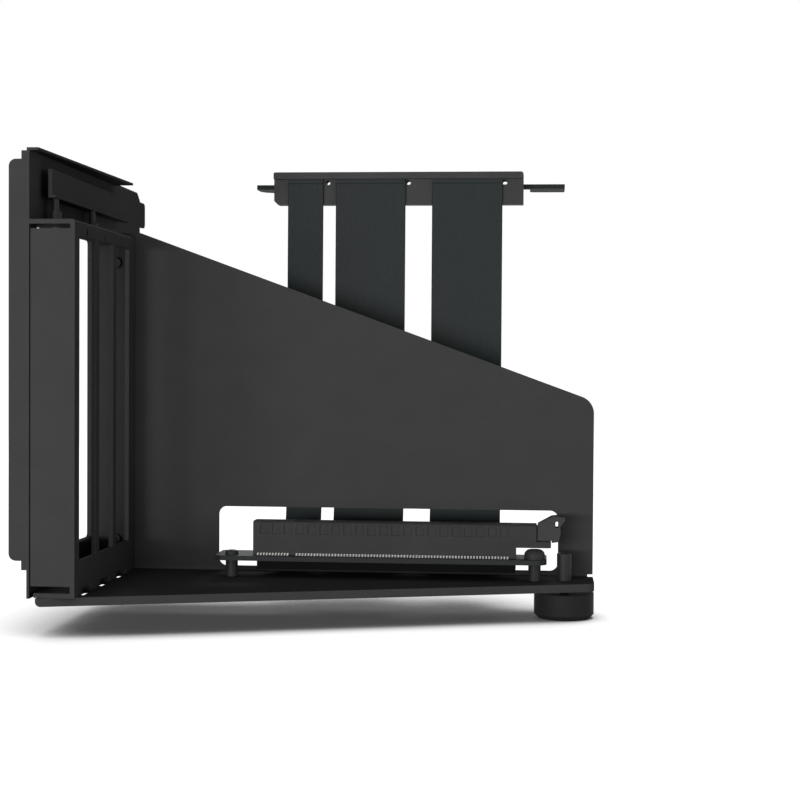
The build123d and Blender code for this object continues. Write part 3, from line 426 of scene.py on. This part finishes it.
NODE_MATERIALS = {
    "base_panel": steel,
    "slot_frame": steel,
    "side_plate": steel,
    "rear_frame": steel,
    "retention_plate": steel,
    "plate_pins": screw_steel,
    "flange_screws": screw_steel,
    "base_rivets": screw_steel,
    "riser_board": pad_mask,
    "board_standoffs": screw_steel,
    "board_screws": screw_steel,
    "socket_housing": housing_plastic,
    "socket_contacts": tin,
    "socket_latch": latch_plastic,
    "latch_pin": screw_steel,
    "board_insulator": shield_film,
    "plug_cover_front": plug_plastic,
    "plug_cover_back": plug_plastic,
    "plug_board": pad_mask,
    "plug_contacts": gold,
    "foot_bush": screw_steel,
    "foot_stud": stud_steel,
    "foot_body": foot_plastic,
    "foot_sole": sole_rubber,
    "ribbon_left": jacket,
    "ribbon_middle": jacket,
    "ribbon_right": jacket,
}
for node_name, material in NODE_MATERIALS.items():
    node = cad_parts[node_name]
    node.data.materials.clear()
    node.data.materials.append(material)


# Ribbons: each is a stack of flat cable on one smooth curve
def route_points(middle):
    """Points along the ribbon's smooth curve, read from its spline."""
    curve = bpy.data.curves.new("route", "CURVE")
    curve.dimensions = "3D"
    curve.resolution_u = 16
    spline = curve.splines.new("NURBS")
    spline.points.add(len(ROUTE) - 1)
    for point, (y, z) in zip(spline.points, ROUTE):
        point.co = (*at(middle, y, z), 1.0)
    spline.order_u = 3
    spline.use_endpoint_u = True
    holder = add_object("route", curve)
    graph = bpy.context.evaluated_depsgraph_get()
    mesh = bpy.data.meshes.new_from_object(holder.evaluated_get(graph))
    points = [v.co.copy() for v in mesh.vertices]
    bpy.data.objects.remove(holder)
    return points


WIRE_PITCH = 0.635
WIRE_STEPS = 4
WIRE_RIDGE = 0.02
RIBBON_EDGE = 0.25
# The rounded edge, as (mm in from the edge, share of the half thickness)
RIBBON_ROUND = ((0.07, 0.7), (0, 0.25), (0, -0.25), (0.07, -0.7))


def ribbon_section(width):
    """Half-rounded edges and a shallow ridge over each wire, as (across, out) in mm."""
    half = width / 2
    thick = RIBBON_T / 2
    front = []
    steps = int(width / WIRE_PITCH) * WIRE_STEPS
    for k in range(steps + 1):
        across = -half + RIBBON_EDGE + (width - 2 * RIBBON_EDGE) * k / steps
        ridge = WIRE_RIDGE * math.cos(2 * math.pi * k / WIRE_STEPS) - WIRE_RIDGE
        front.append((across, thick + ridge))
    edge = [(half - inset, thick * share) for inset, share in RIBBON_ROUND]
    back = [(-across, -out) for across, out in front]
    other = [(-across, -out) for across, out in edge]
    return front + edge + back + other


def make_ribbon(name, x0, x1):
    """The ribbon's section carried along its route, and the points of that route."""
    points = route_points((x0 + x1) / 2)
    section = ribbon_section(x1 - x0)
    shape = bmesh.new()
    rings = []
    for k, point in enumerate(points):
        before = points[max(k - 1, 0)]
        after = points[min(k + 1, len(points) - 1)]
        along = (after - before).normalized()
        out = Vector((1, 0, 0)).cross(along).normalized()
        ring = []
        for across, off in section:
            ring.append(shape.verts.new(point + Vector((across * MM, 0, 0)) + out * (off * MM)))
        rings.append(ring)
    count = len(section)
    for low, high in zip(rings, rings[1:]):
        for k in range(count):
            n = (k + 1) % count
            shape.faces.new((low[k], low[n], high[n], high[k]))
    shape.faces.new(rings[0][::-1])
    shape.faces.new(rings[-1])
    piece = from_bmesh(name + "_strip", shape, 40)
    piece.data.materials.append(jacket)
    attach(piece, "frame")
    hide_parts(name)
    return piece, points


# The fold's section as (y, z), from the top of the ribbon's front face
FOLD = ((0, 0), (0, -1.5), (-0.16, -1.7), (-0.42, -1.5), (-0.5, -1.2), (-0.5, -0.3), (-0.42, 0))
FOLD_INSET = 0.15
FOLD_SINK = 0.02


def make_fold(name, x0, x1):
    """The ribbon's folded end, a low roll just under the plug's lip."""
    front = ROUTE[-1][0] - RIBBON_T / 2 - FOLD_SINK
    top = ROUTE[-1][1]
    sides = (x0 + FOLD_INSET, x1 - FOLD_INSET)
    shape = bmesh.new()
    add_prism(shape, FOLD, lambda u, v, end: at(sides[end], front + u, top + v))
    piece = from_bmesh(name + "_fold", shape, 50)
    piece.data.materials.append(jacket)
    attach(piece, "frame")
    return piece


# What hangs on each ribbon besides its fold: the plug's pieces, shared out
SHARED = {
    "ribbon_left": ("plug_cover_front",),
    "ribbon_middle": ("plug_cover_back", "plug_board", "plug_contacts"),
    "ribbon_right": (),
}
for ribbon_name, (left, right) in RIBBONS.items():
    strip, line = make_ribbon(ribbon_name, left, right)
    on_it = [make_fold(ribbon_name, left, right)]
    on_it += [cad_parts[node] for node in SHARED[ribbon_name]]


# Small details on the socket, the board, the screws and the stud
def pin_places():
    """Each contact's x along the socket, with a wider gap at the key."""
    return [PIN_FIRST + pin + (KEY_GAP - 1 if pin >= KEY_PINS else 0) for pin in range(PIN_COUNT)]


def add_detail(name, shape, material, smooth=None):
    """A piece of trim on the frame, with its material."""
    piece = from_bmesh(name, shape, smooth)
    piece.data.materials.append(material)
    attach(piece, "frame")


def make_tails():
    """The solder tails between the modelled ones, on both sides of the socket."""
    shape = bmesh.new()
    for pin, x in enumerate(pin_places()):
        face, out = (SOCKET_FRONT, -1) if pin % 2 else (SOCKET_BACK, 1)
        near = face + TAIL_GAP * out
        toe = sorted((near, face + TAIL_REACH * out))
        heel = sorted((near, face + TAIL_T * out))
        add_block(shape, x - PIN_HALF, x + PIN_HALF, *toe, BOARD_TOP, BOARD_TOP + TAIL_T)
        add_block(shape, x - PIN_HALF, x + PIN_HALF, *heel, BOARD_TOP + TAIL_T, BOARD_TOP + TAIL_RISE)
    add_detail("solder_tails", shape, tin)


# The spring's section, as (out from the slot's wall, up from the socket's top)
SPRING = ((0.02, -7.6), (0.35, -3.4), (0.06, -1.3), (0.2, -1.3), (0.5, -3.4), (0.17, -7.6))


def make_springs():
    """Bowed contact springs along both walls of the card slot."""
    shape = bmesh.new()
    for x in pin_places():
        for side in (-1, 1):
            wall = SOCKET_Y + side * SLOT_HALF
            sides = (x - PIN_HALF, x + PIN_HALF)
            add_prism(shape, SPRING, lambda u, v, end: at(sides[end], wall - side * u, SOCKET_TOP + v))
    add_detail("contact_springs", shape, spring_metal)


CHIP_X = (52.0, 61.0, 70.0, 79.0, 88.0, 97.0, 106.0, 115.0, 124.0)
CHIP_Y = (67.4, 68.15)
CHIP_H = 0.6
CHIP_BODY = 0.3
CHIP_END = 0.7
CHIP_LIP = 0.02


def make_chips():
    """Two-ended chips in a row on the board behind the socket."""
    bodies = bmesh.new()
    caps = bmesh.new()
    cap_y = (CHIP_Y[0] - CHIP_LIP, CHIP_Y[1] + CHIP_LIP)
    cap_top = BOARD_TOP + CHIP_H + CHIP_LIP
    for x in CHIP_X:
        add_block(bodies, x - CHIP_BODY, x + CHIP_BODY, *CHIP_Y, BOARD_TOP, BOARD_TOP + CHIP_H)
        add_block(caps, x - CHIP_END, x - CHIP_BODY, *cap_y, BOARD_TOP, cap_top)
        add_block(caps, x + CHIP_BODY, x + CHIP_END, *cap_y, BOARD_TOP, cap_top)
    add_detail("chip_bodies", bodies, ceramic)
    add_detail("chip_ends", caps, tin)


HEXAGON_STEPS = 36
# Radius of the recess, width of the hexagon, and its foot and top below the screw's face
BOARD_HEXAGON = (1.29, 1.9, 0.79, 0.06)
FLANGE_HEXAGON = (0.89, 1.3, 0.49, 0.04)


def add_hexagon(shape, outer, across, place):
    """A ring that fills a round recess down to a hexagonal opening."""
    rings = []
    for end in (0, 1):
        for inner in (0, 1):
            ring = []
            for k in range(HEXAGON_STEPS):
                turn = 2 * math.pi * k / HEXAGON_STEPS
                flat = (turn % (math.pi / 3)) - math.pi / 6
                radius = across / 2 / math.cos(flat) if inner else outer
                corner = place(radius * math.cos(turn), radius * math.sin(turn), end)
                ring.append(shape.verts.new(corner))
            rings.append(ring)
    for a, b in ((0, 1), (1, 3), (3, 2), (2, 0)):
        for k in range(HEXAGON_STEPS):
            n = (k + 1) % HEXAGON_STEPS
            shape.faces.new((rings[a][k], rings[a][n], rings[b][n], rings[b][k]))


def make_hexagons():
    """Hexagon sockets in the board's screws and in the flange's screws."""
    shape = bmesh.new()
    outer, across, foot, top = BOARD_HEXAGON
    for x, y, head in BOARD_SCREWS:
        levels = (head - foot, head - top)
        add_hexagon(shape, outer, across, lambda u, v, end: at(x + u, y + v, levels[end]))
    outer, across, foot, top = FLANGE_HEXAGON
    levels = (FLANGE_FACE + foot, FLANGE_FACE + top)
    for z in FLANGE_SCREWS:
        add_hexagon(shape, outer, across, lambda u, v, end: at(FLANGE_X + u, levels[end], z + v))
    add_detail("screw_sockets", shape, screw_steel, 40)


def make_thread():
    """Ridges around the stud, on the stretch that shows as the foot is screwed down."""
    low = FOOT_TOP
    high = FOOT_TOP + THREAD_PITCH * THREAD_TURNS
    profile = [(0, low)]
    for turn in range(THREAD_TURNS):
        foot = low + THREAD_PITCH * turn
        profile += [(THREAD_ROOT, foot), (THREAD_CREST, foot + THREAD_PITCH / 2)]
    profile += [(THREAD_ROOT, high), (0, high)]
    shape = bmesh.new()
    add_lathe(shape, profile, lambda u, v, height: at(FOOT_X + u, FOOT_Y + v, height))
    piece = from_bmesh("stud_ridges", shape)
    piece.data.materials.append(stud_steel)
    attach(piece, "foot")


make_thread()
make_tails()
make_springs()
make_chips()
make_hexagons()


# Stage: a floor that reads white to the camera, darkened only near the part
def seen_rays(tree):
    """One for rays that show the stage: from the camera, a gloss or a clear piece."""
    path = tree.nodes.new("ShaderNodeLightPath")
    value = path.outputs["Is Camera Ray"]
    for name in ("Is Glossy Ray", "Is Transmission Ray"):
        either = tree.nodes.new("ShaderNodeMath")
        either.operation = "MAXIMUM"
        tree.links.new(value, either.inputs[0])
        tree.links.new(path.outputs[name], either.inputs[1])
        value = either.outputs[0]
    return value


# The floor's colour in the light that it sends back, and the matt part of what the camera sees
FLOOR_COLOUR = 0.8
FLOOR_MATT = 0.25
# The glowing part: the reach of its shade in metres, its least, and the open sky it grows between
SHADE_REACH = 0.085
SHADE_DARK = 0.04
SHADE_OPEN = (0.34, 0.8)
FLOOR_NEAR = (-4000, -4000)
FLOOR_FAR = (6000, 14000)


def floor_material():
    """Plain matt for the light, and for the camera a white glow that fades near the part as a painted
    shadow, with a little matt for the lamps' shadows.
    """
    n = Nodes("floor_white")
    matt = n.shader
    matt.inputs["Base Color"].default_value = (FLOOR_COLOUR, FLOOR_COLOUR, FLOOR_COLOUR, 1)
    matt.inputs["Roughness"].default_value = 0.9
    matt.inputs["Specular IOR Level"].default_value = 0.0
    # white that fades where the part covers the open sky: a painted shadow under and around the part
    sky = n.new("ShaderNodeAmbientOcclusion", Distance=SHADE_REACH, samples=12)
    glow = n.new("ShaderNodeEmission")
    n.link(n.ramp(sky.outputs["AO"], SHADE_DARK, 1.0, *SHADE_OPEN), glow.inputs["Strength"])
    pale = n.new("ShaderNodeBsdfDiffuse")
    pale.inputs["Color"].default_value = (FLOOR_MATT, FLOOR_MATT, FLOOR_MATT, 1)
    both = n.new("ShaderNodeAddShader")
    n.link(glow.outputs[0], both.inputs[0])
    n.link(pale.outputs[0], both.inputs[1])
    mix = n.new("ShaderNodeMixShader")
    n.link(seen_rays(n.tree), mix.inputs[0])
    n.link(matt.outputs[0], mix.inputs[1])
    n.link(both.outputs[0], mix.inputs[2])
    n.link(mix.outputs[0], n.tree.nodes["Material Output"].inputs["Surface"])
    return n.material


def make_floor():
    shape = bmesh.new()
    low = at(*FLOOR_NEAR, FLOOR_Z)
    high = at(*FLOOR_FAR, FLOOR_Z)
    corners = [(low.x, low.y), (high.x, low.y), (high.x, high.y), (low.x, high.y)]
    shape.faces.new([shape.verts.new((x, y, low.z)) for x, y in corners])
    floor = from_bmesh("floor", shape)
    floor.data.materials.append(floor_material())


make_floor()


# Each lamp's place in the datum frame in mm, its size in metres, and its power in watts
LAMPS = {
    "key": ((-240, -1100, 60), (1.1, 0.14), 15.2),
    "side": ((1000, -560, 60), (0.7, 0.14), 2.8),
    "back": ((-220, 1100, 620), (1.0, 0.2), 8.0),
}
LAMP_AIM = (70, 50, 50)
WORLD_FILL = 0.15


def add_lamp(name, place, target, size, power):
    """A soft box lamp that faces its target and isn't seen itself."""
    data = bpy.data.lights.new(name, "AREA")
    data.shape = "RECTANGLE"
    data.size, data.size_y = size
    data.energy = power
    lamp = add_object(name, data)
    lamp.location = place
    lamp.rotation_euler = (target - place).to_track_quat("-Z", "Y").to_euler()
    lamp.visible_camera = False


for lamp_name, (lamp_place, lamp_size, watts) in LAMPS.items():
    add_lamp(lamp_name, at(*lamp_place), at(*LAMP_AIM), lamp_size, watts)


def make_world():
    """A white world, weak as light on the part and full white where it is seen."""
    world = bpy.data.worlds.new("studio")
    bpy.context.scene.world = world
    world.use_nodes = True
    tree = world.node_tree
    back = tree.nodes["Background"]
    level = tree.nodes.new("ShaderNodeMapRange")
    level.inputs["To Min"].default_value = WORLD_FILL
    level.inputs["To Max"].default_value = 1.0
    tree.links.new(seen_rays(tree), level.inputs["Value"])
    tree.links.new(level.outputs["Result"], back.inputs["Strength"])
    back.inputs["Color"].default_value = (1, 1, 1, 1)


make_world()
bpy.context.scene.view_settings.view_transform = "Standard"
